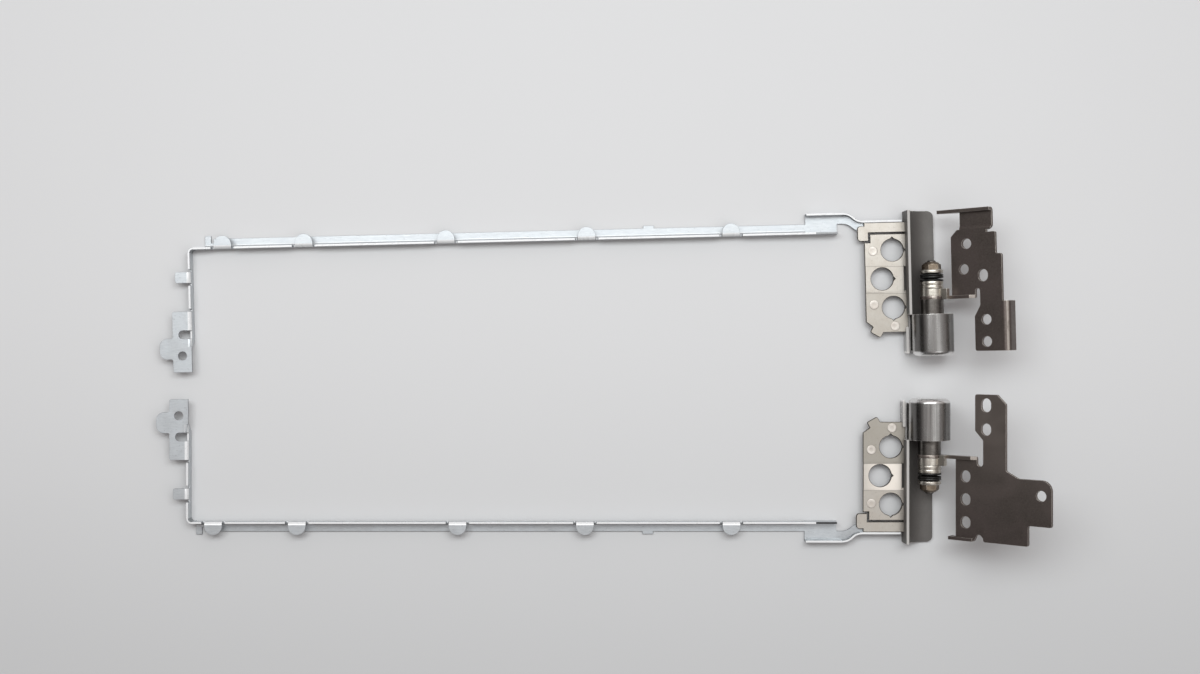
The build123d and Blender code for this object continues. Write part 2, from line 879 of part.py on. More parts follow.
# Strip that steps down from the right column's end and turns up into the outer flange
def right_strip():
    root_y = right_column_end_y - bracket_sheet
    root_end = right_strip_x + right_strip_root
    strip_end = right_strip_x + right_strip_width
    step_y = right_column_end_y + right_strip_lead
    flange_y = right_column_end_y + right_strip_run
    notch_y = right_top_y + right_notch_width
    strip_level = bracket_middle - right_strip_fall
    strip_bottom = bracket_bottom - right_strip_fall
    with BuildPart() as strip:
        with BuildSketch(Plane.YZ.offset(right_strip_x)):
            with BuildLine():
                FilletPolyline(
                    (root_y, bracket_middle),
                    (step_y, bracket_middle),
                    (step_y + right_strip_step, strip_level),
                    (flange_y, strip_level),
                    (flange_y, ear_top),
                    radius=right_strip_bend,
                )
            trace(line_width=bracket_sheet)
        extrude(amount=right_strip_width)
        with BuildSketch(Plane.XY.offset(strip_bottom)) as outline:
            with BuildLine():
                Polyline(
                    (right_strip_x, root_y),
                    (root_end, root_y),
                    (root_end, notch_y),
                    (strip_end, notch_y),
                    (strip_end, flange_y + bracket_sheet),
                    (right_strip_x, flange_y + bracket_sheet),
                    close=True,
                )
            make_face()
            corner = outline.vertices().sort_by_distance((strip_end, notch_y))[0]
            fillet(corner, right_strip_corner)
        extrude(amount=ear_top - strip_bottom, mode=Mode.INTERSECT)
    return strip.part


def right_bracket():
    column_end = right_column_x + right_column_width
    relief_end = column_end + right_relief_width
    relief_root_y = relief_end_y - right_relief_width / 2
    root_end = right_strip_x + right_strip_root
    flange_y = right_column_end_y + right_strip_run
    with BuildPart() as bracket:
        with BuildSketch(Plane.XY.offset(bracket_bottom)) as outline:
            with BuildLine():
                Polyline(
                    (column_end, relief_root_y),
                    (column_end, ear_y),
                    (right_column_x, ear_y),
                    (right_column_x, right_column_end_y - right_column_chamfer),
                    (right_column_x + right_column_chamfer, right_column_end_y),
                    (root_end, right_column_end_y),
                    (root_end, right_top_y),
                    (right_top_x, right_top_y),
                    (right_top_x, right_step_y),
                    (right_edge_x, right_step_y),
                    (right_edge_x, right_leg_end_y),
                    (right_leg_x, right_leg_end_y),
                    (right_leg_x, right_leg_shoulder_y),
                    (relief_end, right_leg_shoulder_y + right_leg_shoulder),
                    (relief_end, relief_root_y),
                )
                ThreePointArc(
                    (relief_end, relief_root_y),
                    ((relief_end + column_end) / 2, relief_end_y),
                    (column_end, relief_root_y),
                )
            make_face()
            corners = outline_corners(outline).filter_by(
                lambda corner: abs(corner.X - root_end) > pick_width
                and not (corner.X > right_edge_x - pick_width and corner.Y < 0)
            )
            fillet(corners, bracket_corner)
        extrude(amount=bracket_sheet)
        bracket_ear(right_column_x, right_column_width)
        fillet(ear_bend(bracket), ear_round)
        # Fold along the leg's far edge
        with BuildSketch(Plane.XZ.offset(-right_leg_end_y)):
            with BuildLine():
                FilletPolyline(
                    (right_edge_x - bracket_sheet, bracket_middle),
                    (right_fold_x, bracket_middle),
                    (right_fold_x, -bracket_drop - right_fold_depth),
                    radius=bracket_bend,
                )
            trace(line_width=bracket_sheet)
        extrude(amount=right_leg_end_y - right_fold_outer_y)
        add(right_strip())
        # Tapered arm of the flange that points back towards the axis
        with BuildSketch(Plane.XZ.offset(-flange_y + bracket_sheet / 2)):
            with BuildLine():
                Polyline(
                    (right_arm_x, ear_top),
                    (right_strip_x + bracket_sheet, ear_top),
                    (right_strip_x + bracket_sheet, ear_top - right_arm_root),
                    (right_strip_x, ear_top - right_arm_root),
                    (right_arm_x, ear_top - right_arm_tip),
                    close=True,
                )
            make_face()
        extrude(amount=-bracket_sheet)
        # Screw holes
        leg_pitch = right_leg_hole_pitch / 2
        screw_slots([right_hole_a, right_hole_b], screw_hole)
        screw_slots([right_hole_c], slot_hole)
        screw_slots(
            [
                (right_leg_hole_x, right_leg_hole_y + leg_pitch),
                (right_leg_hole_x, right_leg_hole_y - leg_pitch),
            ],
            screw_hole,
        )
    return bracket.part


def left_bracket():
    column_end = left_column_x + left_column_width
    relief_end = column_end + left_relief_width
    relief_root_y = relief_end_y - left_relief_width / 2
    notch_y = left_column_end_y - left_notch_depth
    flange_outer_y = left_column_end_y + bracket_sheet
    with BuildPart() as bracket:
        with BuildSketch(Plane.XY.offset(bracket_bottom)) as outline:
            with BuildLine():
                Polyline(
                    (column_end, relief_root_y),
                    (column_end, ear_y),
                    (left_column_x, ear_y),
                    (left_column_x, flange_outer_y),
                    (column_end - bracket_sheet, flange_outer_y),
                    (column_end, notch_y),
                    (column_end + bracket_sheet, notch_y),
                    (relief_end, left_column_end_y),
                    (relief_end, left_plate_end_y),
                    (left_plate_edge_x, left_plate_end_y),
                    (left_plate_edge_x, left_wing_outer_y),
                    (left_wing_x, left_wing_outer_y),
                    (left_wing_x, left_wing_inner_y),
                    (left_arm_edge_x + left_wing_run, left_wing_inner_y),
                    (left_arm_edge_x, left_wing_inner_y - left_wing_slope),
                    (left_arm_edge_x, left_arm_end_y + left_arm_chamfer),
                    (left_arm_edge_x - left_arm_chamfer, left_arm_end_y),
                    (left_arm_x, left_arm_end_y),
                    (left_arm_x, left_arm_shoulder_y),
                    (relief_end, left_arm_shoulder_y + left_arm_shoulder),
                    (relief_end, relief_root_y),
                )
                ThreePointArc(
                    (relief_end, relief_root_y),
                    ((relief_end + column_end) / 2, relief_end_y),
                    (column_end, relief_root_y),
                )
            make_face()
            corners = outline_corners(outline).filter_by(
                lambda corner: corner.X > column_end - pick_width or corner.Y < 0
            )
            wing_tip = corners.sort_by_distance((left_wing_x, left_wing_inner_y))[0]
            corners.remove(wing_tip)
            fillet(corners, bracket_corner)
            wing_tip = outline.vertices().sort_by_distance((left_wing_x, left_wing_inner_y))[0]
            fillet(wing_tip, left_wing_corner)
        extrude(amount=bracket_sheet)
        bracket_ear(left_column_x, left_column_width)
        fillet(ear_bend(bracket), ear_round)
        # Low flange folded up at the column's outer end
        block(
            (left_flange_x, column_end - bracket_sheet),
            (left_column_end_y, flange_outer_y),
            (bracket_bottom, ear_top),
        )
        column_holes = [
            (left_column_hole_x, left_column_hole_y + step * left_column_hole_pitch) for step in (-1, 0, 1)
        ]
        arm_pitch = left_arm_hole_pitch / 2
        screw_slots(column_holes, slot_hole)
        screw_slots([(left_arm_hole_x, left_arm_hole_y - arm_pitch)], long_slot_hole)
        screw_slots([(left_arm_hole_x, left_arm_hole_y + arm_pitch)], slot_hole)
        screw_slots([left_wing_hole], screw_hole)
    return bracket.part


# The base bracket's frame: on the hinge axis, turned up from flat by the opening
bracket_seat = Plane(origin=(0, 0, axis_height)).rotated((0, open_angle - 180, 0))
hinge_lay = {
    "right": Location((0, pair_spacing / 2, 0), (0, 0, right_lay_angle)),
    "left": Location((-left_setback, -pair_spacing / 2, 0), (0, 0, left_lay_angle)),
}


def hinge_pieces(tab_offsets, bracket):
    return {
        "screen_rail": screen_rail(tab_offsets),
        "lid_plate": lid_plate(),
        "barrel_cover": barrel_cover(),
        "plate_rivets": plate_rivets(),
        "hinge_shaft": hinge_shaft(),
        "friction_ring": friction_ring(),
        "disc_springs": disc_springs(),
        "end_washer": end_washer(),
        "lock_nut": lock_nut(),
        "tab_washer": bracket_seat.location * tab_washer(),
        "base_bracket": bracket_seat.location * bracket,
    }


laid_out = {}
for name, piece in hinge_pieces(right_tab_offsets, right_bracket()).items():
    laid_out["right_" + name] = hinge_lay["right"] * piece
for name, piece in hinge_pieces(left_tab_offsets, left_bracket()).items():
    laid_out["left_" + name] = hinge_lay["left"] * mirror(piece, about=Plane.XZ)

# The pair's origin is the middle of its footprint on the table
footprint = laid_out["right_screen_rail"].bounding_box()
for piece in laid_out.values():
    footprint = footprint.add(piece.bounding_box())
to_origin = Location((-footprint.center().X, -footprint.center().Y, -footprint.min.Z))

os.makedirs("parts", exist_ok=True)
for name, piece in laid_out.items():
    placed = to_origin * piece
    placed.label = name
    export_step(placed, f"parts/{name}.step")

for hand, lay in hinge_lay.items():
    axis_frame = Plane(to_origin * lay * Location((0, 0, axis_height)))
    print(hand, "hinge axis at", axis_frame.origin, "along", axis_frame.y_dir)
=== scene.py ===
import bpy
import bmesh
import json
import math
from mathutils import Matrix, Vector
from mathutils.bvhtree import BVHTree


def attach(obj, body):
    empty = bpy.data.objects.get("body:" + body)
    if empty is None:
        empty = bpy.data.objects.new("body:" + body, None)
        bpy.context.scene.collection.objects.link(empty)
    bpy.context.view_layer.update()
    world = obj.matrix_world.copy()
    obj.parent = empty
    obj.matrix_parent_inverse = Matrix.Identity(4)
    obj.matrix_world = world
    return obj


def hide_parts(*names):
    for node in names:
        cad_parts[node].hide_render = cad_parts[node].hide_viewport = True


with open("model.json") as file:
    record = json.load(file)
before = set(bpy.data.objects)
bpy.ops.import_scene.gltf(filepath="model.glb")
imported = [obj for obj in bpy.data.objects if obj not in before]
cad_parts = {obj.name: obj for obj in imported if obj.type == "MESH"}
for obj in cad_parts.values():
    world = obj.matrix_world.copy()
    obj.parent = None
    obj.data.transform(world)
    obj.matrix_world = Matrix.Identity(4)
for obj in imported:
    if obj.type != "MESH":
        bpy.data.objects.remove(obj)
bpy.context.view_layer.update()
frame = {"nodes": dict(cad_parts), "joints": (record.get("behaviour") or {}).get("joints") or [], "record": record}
nodes = frame["nodes"]
scene = bpy.context.scene
scene.view_settings.view_transform = "Standard"
mm = 0.001
hands = ("right", "left")
print("frame loaded with", len(nodes), "nodes")


# Camera straight above the pair, as the photograph was taken
cameraSet = {"x": 2.63, "y": 11.81, "height": 430.0, "floorWidth": 360.0}


def makeCamera(s):
    data = bpy.data.cameras.new("overheadCamera")
    data.sensor_fit = "HORIZONTAL"
    data.sensor_width = 36.0
    data.lens = 36.0 * s["height"] / s["floorWidth"]
    data.clip_start = 0.02
    data.clip_end = 20.0
    camera = bpy.data.objects.new("overheadCamera", data)
    camera.location = (s["x"] * mm, s["y"] * mm, s["height"] * mm)
    scene.collection.objects.link(camera)
    scene.camera = camera


makeCamera(cameraSet)


# Node helpers
def newNode(tree, kind, **values):
    node = tree.nodes.new(kind)
    for key, value in values.items():
        setattr(node, key, value)
    return node


def link(tree, source, target):
    tree.links.new(source, target)


def mathNode(tree, operation, a, b=None, clamp=False):
    node = newNode(tree, "ShaderNodeMath", operation=operation, use_clamp=clamp)
    for socket, value in zip(node.inputs, (a, b)):
        if value is None:
            continue
        if isinstance(value, (int, float)):
            socket.default_value = value
        else:
            link(tree, value, socket)
    return node.outputs[0]


def mixColours(tree, factor, first, second):
    node = newNode(tree, "ShaderNodeMix", data_type="RGBA")
    for index, value in ((0, factor), (6, first), (7, second)):
        if isinstance(value, (int, float)):
            node.inputs[index].default_value = value
        elif isinstance(value, tuple):
            node.inputs[index].default_value = (*value, 1.0)
        else:
            link(tree, value, node.inputs[index])
    return node.outputs[2]


def remap(tree, value, fromLow, fromHigh, toLow=0.0, toHigh=1.0):
    node = newNode(tree, "ShaderNodeMapRange", interpolation_type="SMOOTHSTEP")
    link(tree, value, node.inputs[0])
    for index, number in enumerate((fromLow, fromHigh, toLow, toHigh), start=1):
        node.inputs[index].default_value = number
    return node.outputs[0]


def noiseNode(tree, vector, scale, detail=3.0, roughness=0.55):
    node = newNode(tree, "ShaderNodeTexNoise")
    link(tree, vector, node.inputs["Vector"])
    node.inputs["Scale"].default_value = scale
    node.inputs["Detail"].default_value = detail
    node.inputs["Roughness"].default_value = roughness
    return node


def newGroup(name, inputs, outputs):
    group = bpy.data.node_groups.new(name, "ShaderNodeTree")
    for label, kind, value in inputs:
        socket = group.interface.new_socket(label, in_out="INPUT", socket_type=kind)
        if value is not None:
            socket.default_value = value
    for label in outputs:
        group.interface.new_socket(label, in_out="OUTPUT", socket_type="NodeSocketFloat")
    return group, group.nodes.new("NodeGroupInput"), group.nodes.new("NodeGroupOutput")


vectorSocket, floatSocket = "NodeSocketVector", "NodeSocketFloat"


# Fine parallel lines left by rolling, brushing or turning: stretched noise
def makeGrainGroup():
    group, source, out = newGroup(
        "metalGrain",
        [("Vector", vectorSocket, None), ("Scale", floatSocket, 1000.0), ("Contrast", floatSocket, 1.0)],
        ["Tone", "Height"],
    )
    lines = noiseNode(group, source.outputs["Vector"], 1000.0, detail=4.0, roughness=0.7)
    link(group, source.outputs["Scale"], lines.inputs["Scale"])
    centred = mathNode(group, "SUBTRACT", lines.outputs["Fac"], 0.5)
    spread = mathNode(group, "MULTIPLY", centred, source.outputs["Contrast"])
    link(group, mathNode(group, "ADD", spread, 0.5, clamp=True), out.inputs["Tone"])
    link(group, lines.outputs["Fac"], out.inputs["Height"])
    return group


wearSet = {"patchScale": 420.0, "sharpness": 5.0}


# Bright metal where a rounded edge has been rubbed, and a painted highlight on rims and bends, in patches
def makeWearGroup():
    group, source, out = newGroup(
        "edgeWearAndSheen",
        [("Vector", vectorSocket, None), ("Edge", floatSocket, 0.0), ("Amount", floatSocket, 0.5)],
        ["Mask"],
    )
    patches = noiseNode(group, source.outputs["Vector"], wearSet["patchScale"], detail=3.0, roughness=0.6)
    level = mathNode(group, "SUBTRACT", 1.0, source.outputs["Amount"])
    over = mathNode(group, "SUBTRACT", patches.outputs["Fac"], level)
    sharp = mathNode(group, "MULTIPLY_ADD", over, wearSet["sharpness"])
    sharp.node.inputs[2].default_value = 0.5
    sharp.node.use_clamp = True
    link(group, mathNode(group, "MULTIPLY", sharp, source.outputs["Edge"]), out.inputs["Mask"])
    return group


handlingSet = {"smear": 0.6, "stainRange": (0.32, 0.68), "speckRange": (0.66, 0.74)}


# Soft stains and fingerprints from handling, with small specks
def makeHandlingGroup():
    group, source, out = newGroup(
        "handlingMarks",
        [("Vector", vectorSocket, None), ("Size", floatSocket, 160.0), ("Specks", floatSocket, 2600.0)],
        ["Stain", "Speck"],
    )
    stains = noiseNode(group, source.outputs["Vector"], 160.0, detail=4.0, roughness=0.6)
    stains.inputs["Distortion"].default_value = handlingSet["smear"]
    link(group, source.outputs["Size"], stains.inputs["Scale"])
    link(group, remap(group, stains.outputs["Fac"], *handlingSet["stainRange"]), out.inputs["Stain"])
    specks = noiseNode(group, source.outputs["Vector"], 2600.0, detail=1.0)
    link(group, source.outputs["Specks"], specks.inputs["Scale"])
    link(group, remap(group, specks.outputs["Fac"], *handlingSet["speckRange"]), out.inputs["Speck"])
    return group


grainGroup, wearGroup, handlingGroup = makeGrainGroup(), makeWearGroup(), makeHandlingGroup()


def placeGroup(tree, group, vector, **values):
    node = newNode(tree, "ShaderNodeGroup", node_tree=group)
    link(tree, vector, node.inputs["Vector"])
    for key, value in values.items():
        if isinstance(value, (int, float)):
            node.inputs[key].default_value = value
        else:
            link(tree, value, node.inputs[key])
    return node


def startMaterial(name, s):
    material = bpy.data.materials.new(name)
    material.use_nodes = True
    tree = material.node_tree
    shader = tree.nodes["Principled BSDF"]
    shader.inputs["Metallic"].default_value = s.get("metallic", 1.0)
    coords = newNode(tree, "ShaderNodeTexCoord").outputs["Object"]
    return material, tree, shader, coords


def stretched(tree, coords, scale):
    node = newNode(tree, "ShaderNodeMapping")
    link(tree, coords, node.inputs["Vector"])
    node.inputs["Scale"].default_value = scale
    return node.outputs[0]


def faceMask(tree, name):
    return newNode(tree, "ShaderNodeAttribute", attribute_name=name).outputs["Fac"]


def finishShader(tree, shader, colour, roughness, height, strength, distance):
    link(tree, colour, shader.inputs["Base Color"])
    link(tree, roughness, shader.inputs["Roughness"])
    bump = newNode(tree, "ShaderNodeBump")
    bump.inputs["Strength"].default_value = strength
    bump.inputs["Distance"].default_value = distance * mm
    link(tree, height, bump.inputs["Height"])
    link(tree, bump.outputs[0], shader.inputs["Normal"])


def axes(tree, coords):
    parts = newNode(tree, "ShaderNodeSeparateXYZ")
    link(tree, coords, parts.inputs[0])
    return parts.outputs


# Stretches along Y where the coat is painted paler as painted light: on the near hinge, lighter towards the middle,
# and a painted highlight on the end strip of the far one
def paleMask(tree, coords, s):
    y = axes(tree, coords)["Y"]
    onNear = remap(tree, y, s["paleFade"] * mm, -s["paleFade"] * mm)
    near = mathNode(tree, "MULTIPLY", remap(tree, y, s["paleFrom"] * mm, s["paleTo"] * mm), onNear)
    far = remap(tree, y, s["farPaleFrom"] * mm, s["farPaleTo"] * mm)
    return mathNode(tree, "MAXIMUM", near, far)


# The last stretch of a rail's wall: black on top on the near rail, grey on the far one
def wallEndColour(tree, coords, colour, s):
    place = axes(tree, coords)
    start, stop = (value * mm for value in s["wallEnd"])
    inside = mathNode(tree, "MULTIPLY", mathNode(tree, "GREATER_THAN", place["X"], start),
                      mathNode(tree, "LESS_THAN", place["X"], stop))
    onWall = mathNode(tree, "LESS_THAN", mathNode(tree, "ABSOLUTE", place["Y"]), s["wallWithin"] * mm)
    onTop = mathNode(tree, "MULTIPLY", mathNode(tree, "MULTIPLY", inside, onWall), faceMask(tree, "edge"))
    shade = mixColours(tree, mathNode(tree, "GREATER_THAN", place["Y"], 0.0), s["nearEnd"], s["farEnd"])
    return mixColours(tree, onTop, colour, shade)


# Two fine pressed lines across the lid plate, drawn as painted shade: between them the near hinge's plate is painted
# paler, a painted sheen, and the ends towards the other hinge are tarnished
def pressedMiddle(tree, coords, colour, s):
    place = axes(tree, coords)
    isNear = mathNode(tree, "LESS_THAN", place["Y"], 0.0)
    middle = remap(tree, isNear, 0.0, 1.0, s["farMiddle"] * mm, s["nearMiddle"] * mm)
    away = mathNode(tree, "ABSOLUTE", mathNode(tree, "SUBTRACT", place["Y"], middle))
    half = s["middleHalf"] * mm
    inside = mathNode(tree, "MULTIPLY", mathNode(tree, "LESS_THAN", away, half), isNear)
    along = remap(tree, place["X"], s["paleStart"] * mm, s["paleStop"] * mm, s["paleLeast"], s["paleDepth"])
    # a painted sheen between the pressed lines
    colour = mixColours(tree, mathNode(tree, "MULTIPLY", inside, along), colour, s["paintedMiddleSheen"])
    innerStart = mathNode(tree, "SUBTRACT", mathNode(tree, "ABSOLUTE", middle), half)
    inner = mathNode(tree, "LESS_THAN", mathNode(tree, "ABSOLUTE", place["Y"]), innerStart)
    depth = remap(tree, isNear, 0.0, 1.0, s["farTarnish"], s["nearTarnish"])
    tarnish = mathNode(tree, "MULTIPLY", inner, depth)
    colour = mixColours(tree, tarnish, colour, s["tarnishColour"])
    # the pressed lines are painted dark, a painted shade in their grooves
    fromLine = mathNode(tree, "ABSOLUTE", mathNode(tree, "SUBTRACT", away, half))
    line = remap(tree, fromLine, s["lineWidth"] * mm, s["lineCore"] * mm, 0.0, s["lineDepth"])
    return mixColours(tree, line, colour, s["cut"])


cutMatte = 0.3  # how much rougher a cut face is


# One coated or plated metal: grain, stains, worn edges, painted highlights on rims and bends and painted shade along
# cut edges, with values for each finish
def metalFinish(name, s):
    material, tree, shader, coords = startMaterial(name, s)
    grain = placeGroup(tree, grainGroup, stretched(tree, coords, s["grainStretch"]),
                       Scale=s["grainScale"], Contrast=s["grainContrast"])
    marks = placeGroup(tree, handlingGroup, coords, Size=s["stainSize"], Specks=s["speckSize"])
    wear = placeGroup(tree, wearGroup, coords, Edge=faceMask(tree, "edge"), Amount=s["wear"])
    colour = mixColours(tree, grain.outputs["Tone"], s["dark"], s["light"])
    stain = mathNode(tree, "MULTIPLY", marks.outputs["Stain"], s["stainDepth"])
    colour = mixColours(tree, stain, colour, s["stainColour"])
    speck = mathNode(tree, "MULTIPLY", marks.outputs["Speck"], s["speckDepth"])
    colour = mixColours(tree, speck, colour, s["speckColour"])
    # painted light: paler stretches of the coat
    if "paleColour" in s:
        colour = mixColours(tree, paleMask(tree, coords, s), colour, s["paleColour"])
    if "middleHalf" in s:
        colour = pressedMiddle(tree, coords, colour, s)
    # cut faces and the corners along them painted dark: partly the duller cut, partly a painted shade
    colour = mixColours(tree, faceMask(tree, "cut"), colour, s["cut"])
    # worn edges, and the painted highlight on rims and bends
    colour = mixColours(tree, wear.outputs["Mask"], colour, s["bareAndSheen"])
    if "wallEnd" in s:
        colour = wallEndColour(tree, coords, colour, s)
    roughness = mathNode(tree, "MULTIPLY_ADD", marks.outputs["Stain"], s["roughSpread"])
    roughness.node.inputs[2].default_value = s["rough"]
    worn = mathNode(tree, "MULTIPLY", wear.outputs["Mask"], s["bareRough"])
    if "bareMetal" in s:
        metal = remap(tree, wear.outputs["Mask"], 0.0, 1.0, s["metallic"], s["bareMetal"])
        link(tree, metal, shader.inputs["Metallic"])
    matte = mathNode(tree, "MULTIPLY", faceMask(tree, "cut"), cutMatte)
    roughness = mathNode(tree, "ADD", mathNode(tree, "ADD", roughness, worn), matte, clamp=True)
    finishShader(tree, shader, colour, roughness, grain.outputs["Height"], s["bump"], s["bumpDepth"])
    return material


zincLook = {
    "metallic": 0.5, "bareMetal": 0.1,
    "dark": (0.43, 0.455, 0.475), "light": (0.565, 0.588, 0.602), "bareAndSheen": (0.80, 0.805, 0.81),
    "stainColour": (0.56, 0.59, 0.62), "stainDepth": 0.35, "stainSize": 190.0,
    "speckColour": (0.30, 0.31, 0.32), "speckDepth": 0.45, "speckSize": 1900.0,
    "grainStretch": (0.12, 0.5, 1.0), "grainScale": 4200.0, "grainContrast": 2.2,
    "rough": 0.32, "roughSpread": 0.10, "bareRough": -0.08, "wear": 0.8, "bump": 0.10, "bumpDepth": 0.05,
    "cut": (0.22, 0.23, 0.24),
    "wallEnd": (66.9, 73.6), "wallWithin": 46.5, "nearEnd": (0.03, 0.03, 0.032), "farEnd": (0.34, 0.35, 0.36),
}
nickelLook = {
    "dark": (0.395, 0.37, 0.332), "light": (0.515, 0.486, 0.446), "bareAndSheen": (0.57, 0.545, 0.50),
    "stainColour": (0.47, 0.43, 0.38), "stainDepth": 0.6, "stainSize": 240.0,
    "speckColour": (0.24, 0.21, 0.18), "speckDepth": 0.35, "speckSize": 2100.0,
    "grainStretch": (1.0, 0.22, 1.0), "grainScale": 3600.0, "grainContrast": 1.2,
    "rough": 0.40, "roughSpread": 0.10, "bareRough": 0.05, "wear": 0.9, "bump": 0.14, "bumpDepth": 0.05,
    "cut": (0.10, 0.09, 0.08),
    "farMiddle": 28.8, "nearMiddle": -29.9, "middleHalf": 4.0, "paintedMiddleSheen": (0.84, 0.78, 0.71),
    "paleStart": 79.0, "paleStop": 88.0, "paleLeast": 0.15, "paleDepth": 0.85,
    "lineWidth": 0.14, "lineCore": 0.056, "lineDepth": 0.45,
    "tarnishColour": (0.265, 0.245, 0.21), "farTarnish": 0.25, "nearTarnish": 0.55,
}
coatLook = {
    "metallic": 0.85,
    "dark": (0.116, 0.096, 0.086), "light": (0.172, 0.146, 0.131), "bareAndSheen": (0.44, 0.40, 0.36),
    "stainColour": (0.134, 0.105, 0.099), "stainDepth": 0.7, "stainSize": 95.0,
    "speckColour": (0.20, 0.17, 0.145), "speckDepth": 0.5, "speckSize": 2000.0,
    "grainStretch": (1.0, 1.0, 1.0), "grainScale": 1900.0, "grainContrast": 2.8,
    "rough": 0.36, "roughSpread": 0.10, "bareRough": -0.06, "wear": 0.66, "bump": 0.12, "bumpDepth": 0.05,
    "cut": (0.055, 0.045, 0.040),
    "paleColour": (0.225, 0.192, 0.172),
    "paleFrom": -50.0, "paleTo": -4.0, "paleFade": 2.0, "farPaleFrom": 44.0, "farPaleTo": 56.0,
}
washerLook = {
    "dark": (0.46, 0.43, 0.38), "light": (0.64, 0.61, 0.55), "bareAndSheen": (0.78, 0.75, 0.69),
    "stainColour": (0.34, 0.29, 0.23), "stainDepth": 0.35, "stainSize": 380.0,
    "speckColour": (0.16, 0.13, 0.10), "speckDepth": 0.35, "speckSize": 2500.0,
    "grainStretch": (0.06, 1.0, 0.06), "grainScale": 5200.0, "grainContrast": 1.6,
    "rough": 0.28, "roughSpread": 0.12, "bareRough": -0.04, "wear": 0.6, "bump": 0.10, "bumpDepth": 0.04,
    "cut": (0.30, 0.26, 0.21),
}
shaftLook = {
    "dark": (0.10, 0.092, 0.085), "light": (0.22, 0.205, 0.19), "bareAndSheen": (0.45, 0.42, 0.39),
    "stainColour": (0.06, 0.053, 0.047), "stainDepth": 0.6, "stainSize": 420.0,
    "speckColour": (0.40, 0.37, 0.34), "speckDepth": 0.25, "speckSize": 2700.0,
    "grainStretch": (0.08, 1.0, 0.08), "grainScale": 4600.0, "grainContrast": 1.5,
    "rough": 0.26, "roughSpread": 0.14, "bareRough": -0.04, "wear": 0.5, "bump": 0.15, "bumpDepth": 0.04,
    "cut": (0.08, 0.07, 0.06),
}
springLook = {
    "metallic": 0.6,
    "dark": (0.012, 0.012, 0.012), "light": (0.030, 0.029, 0.028), "bareAndSheen": (0.16, 0.15, 0.14),
    "stainColour": (0.020, 0.018, 0.016), "stainDepth": 0.5, "stainSize": 500.0,
    "speckColour": (0.07, 0.065, 0.06), "speckDepth": 0.3, "speckSize": 2500.0,
    "grainStretch": (1.0, 1.0, 1.0), "grainScale": 3200.0, "grainContrast": 1.2,
    "rough": 0.26, "roughSpread": 0.16, "bareRough": -0.02, "wear": 0.42, "bump": 0.12, "bumpDepth": 0.03,
    "cut": (0.012, 0.012, 0.012),
}
nutLook = {
    "dark": (0.15, 0.118, 0.088), "light": (0.27, 0.22, 0.17), "bareAndSheen": (0.50, 0.44, 0.37),
    "stainColour": (0.075, 0.055, 0.04), "stainDepth": 0.55, "stainSize": 520.0,
    "speckColour": (0.05, 0.04, 0.03), "speckDepth": 0.5, "speckSize": 2500.0,
    "grainStretch": (0.3, 1.0, 0.3), "grainScale": 3800.0, "grainContrast": 1.3,
    "rough": 0.30, "roughSpread": 0.14, "bareRough": -0.06, "wear": 0.55, "bump": 0.14, "bumpDepth": 0.04,
    "cut": (0.10, 0.08, 0.06),
}
rivetLook = {
    "dark": (0.47, 0.44, 0.40), "light": (0.61, 0.575, 0.53), "bareAndSheen": (0.64, 0.60, 0.555),
    "stainColour": (0.52, 0.45, 0.40), "stainDepth": 0.4, "stainSize": 600.0,
    "speckColour": (0.26, 0.21, 0.18), "speckDepth": 0.4, "speckSize": 2300.0,
    "grainStretch": (1.0, 1.0, 1.0), "grainScale": 3400.0, "grainContrast": 1.2,
    "rough": 0.44, "roughSpread": 0.10, "bareRough": 0.0, "wear": 0.45, "bump": 0.18, "bumpDepth": 0.04,
    "cut": (0.10, 0.09, 0.08),
}
zincSheet = metalFinish("zincSheet", zincLook)
satinNickel = metalFinish("satinNickel", nickelLook)
brownCoat = metalFinish("brownCoat", coatLook)
turnedNickel = metalFinish("turnedNickel", washerLook)
oiledSteel = metalFinish("oiledSteel", shaftLook)
blackOxide = metalFinish("blackOxide", springLook)
bronzeOxide = metalFinish("bronzeOxide", nutLook)
rivetNickel = metalFinish("rivetNickel", rivetLook)

# Dark nickel casting: the barrel is polished along its length, the trough is left satin
castingLook = {
    "shoulder": 18.6, "blend": 0.15, "radius": 6.0,
    "polishDark": (0.21, 0.206, 0.20), "polishLight": (0.40, 0.392, 0.382), "polishRough": 0.22,
    # the barrel's sides are painted darker, a painted shade
    "paintedFlankShade": (0.15, 0.145, 0.14), "flankFrom": 0.50, "flankTo": 0.80,
    "streakStretch": (1.0, 0.015, 1.0), "streakScale": 2300.0, "streakContrast": 2.2,
    "satinDark": (0.108, 0.101, 0.095), "satinLight": (0.150, 0.141, 0.133), "satinRough": 0.55, "satinMetal": 0.5,
    "satinStretch": (1.0, 0.6, 1.0), "satinScale": 3200.0, "satinContrast": 1.0,
    "stainSize": 150.0, "speckSize": 2200.0, "stainDepth": 0.25, "roughSpread": 0.08, "bump": 0.16, "bumpDepth": 0.04,
    # a lighter, duller band beside the wall, painted light for a lit surface the shape lacks
    "web": (0.46, 0.45, 0.44), "webFrom": -0.95, "webTo": -0.99, "webMetal": 0.15,
    "bareAndSheen": (0.62, 0.60, 0.575), "wear": 0.85,
    # the barrel's inner end is painted near white, a painted highlight
    "endFrom": 7.8, "endTo": 7.2, "endHighlight": (0.86, 0.85, 0.84),
}


